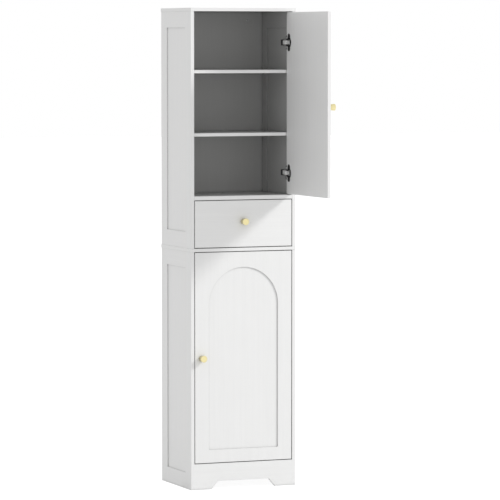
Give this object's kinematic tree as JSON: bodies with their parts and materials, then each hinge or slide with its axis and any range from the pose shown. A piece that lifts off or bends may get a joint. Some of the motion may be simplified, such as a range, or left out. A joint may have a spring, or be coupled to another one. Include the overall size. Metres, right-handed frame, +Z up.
{
  "type": "tall bathroom cabinet",
  "caption": "Tall narrow white bathroom cabinet: a door over open shelves, a drawer below it and a lower door with an arched recess, on frame-and-panel sides.",
  "frame": {"origin": "on the floor, in the middle of the back edge of the top panels", "axes": "+X to the right seen from the front, -Y out of the front, +Z up"},
  "size_m": [0.4074, 0.6533, 1.7],
  "materials": {
    "white_paint": "satin white lacquer",
    "knob_brass": "brushed brass",
    "hinge_nickel": "nickel plate",
    "pin_steel": "nickel plate",
    "beech": "bare turned wood",
    "runner_paint": "white powder coat",
    "roller_nylon": "nylon"
  },
  "bodies": {
    "carcass": {"upper_left_front_stile": "white_paint", "upper_left_back_stile": "white_paint", "upper_left_top_rail": "white_paint", "upper_left_bottom_rail": "white_paint", "upper_left_infill_panel": "white_paint", "upper_right_front_stile": "white_paint", "upper_right_back_stile": "white_paint", "upper_right_top_rail": "white_paint", "upper_right_bottom_rail": "white_paint", "upper_right_infill_panel": "white_paint", "lower_left_front_stile": "white_paint", "lower_left_back_stile": "white_paint", "lower_left_top_rail": "white_paint", "lower_left_bottom_rail": "white_paint", "lower_left_infill_panel": "white_paint", "lower_right_front_stile": "white_paint", "lower_right_back_stile": "white_paint", "lower_right_top_rail": "white_paint", "lower_right_bottom_rail": "white_paint", "lower_right_infill_panel": "white_paint", "upper_top_panel": "white_paint", "lower_top_panel": "white_paint", "upper_back_panel": "white_paint", "lower_back_panel": "white_paint", "upper_back_rail": "white_paint", "rear_base_rail": "white_paint", "drawer_cover_shelf": "white_paint", "lower_bottom_panel": "white_paint", "top_shelf": "white_paint", "middle_shelf": "white_paint", "lower_shelf": "white_paint", "shelf_pins": "pin_steel", "stacking_dowels": "beech", "front_apron": "white_paint", "upper_door_hinge_plates": "hinge_nickel", "upper_door_hinge_arms": "hinge_nickel", "lower_door_hinge_plates": "hinge_nickel", "lower_door_hinge_arms": "hinge_nickel", "cabinet_runners": "runner_paint"},
    "upper_door": {"upper_door": "white_paint", "upper_door_knob": "knob_brass", "upper_door_hinge_cups": "hinge_nickel", "upper_door_hinge_pins": "hinge_nickel"},
    "lower_door": {"lower_door": "white_paint", "lower_door_knob": "knob_brass", "lower_door_hinge_cups": "hinge_nickel", "lower_door_hinge_pins": "hinge_nickel"},
    "drawer": {"drawer_front": "white_paint", "drawer_left_side": "white_paint", "drawer_right_side": "white_paint", "drawer_back": "white_paint", "drawer_bottom": "white_paint", "drawer_knob": "knob_brass", "drawer_runners": "runner_paint"},
    "cabinet_rollers": {"cabinet_runner_rollers": "roller_nylon"},
    "drawer_rollers": {"drawer_runner_rollers": "roller_nylon"}
  },
  "joints": [
    {"name": "upper_door_hinge", "type": "hinge", "parent": "carcass", "child": "upper_door", "pos_m": [0.1766, -0.2927, 1.36], "axis": [0, 0, 1], "range_deg": [-90, 5]},
    {"name": "lower_door_hinge", "type": "hinge", "parent": "carcass", "child": "lower_door", "pos_m": [0.1766, -0.2927, 0.467], "axis": [0, 0, 1], "range_deg": [0, 95]},
    {"name": "drawer_slide", "type": "slide", "parent": "carcass", "child": "drawer", "axis": [0, -1, 0], "range_m": [0, 0.19]},
    {"name": "cabinet_roller_spin", "type": "hinge", "parent": "carcass", "child": "cabinet_rollers", "pos_m": [0, -0.275, 0.8725], "axis": [1, 0, 0], "range_deg": [0, 1700]},
    {"name": "drawer_roller_spin", "type": "hinge", "parent": "drawer", "child": "drawer_rollers", "pos_m": [0, -0.045, 0.8725], "axis": [1, 0, 0], "range_deg": [0, 1700]}
  ],
  "couplings": [
    {"joint": "cabinet_roller_spin", "follows": "drawer_slide", "rad_per_m": 153.85},
    {"joint": "drawer_roller_spin", "follows": "drawer_slide", "rad_per_m": 153.85}
  ]
}
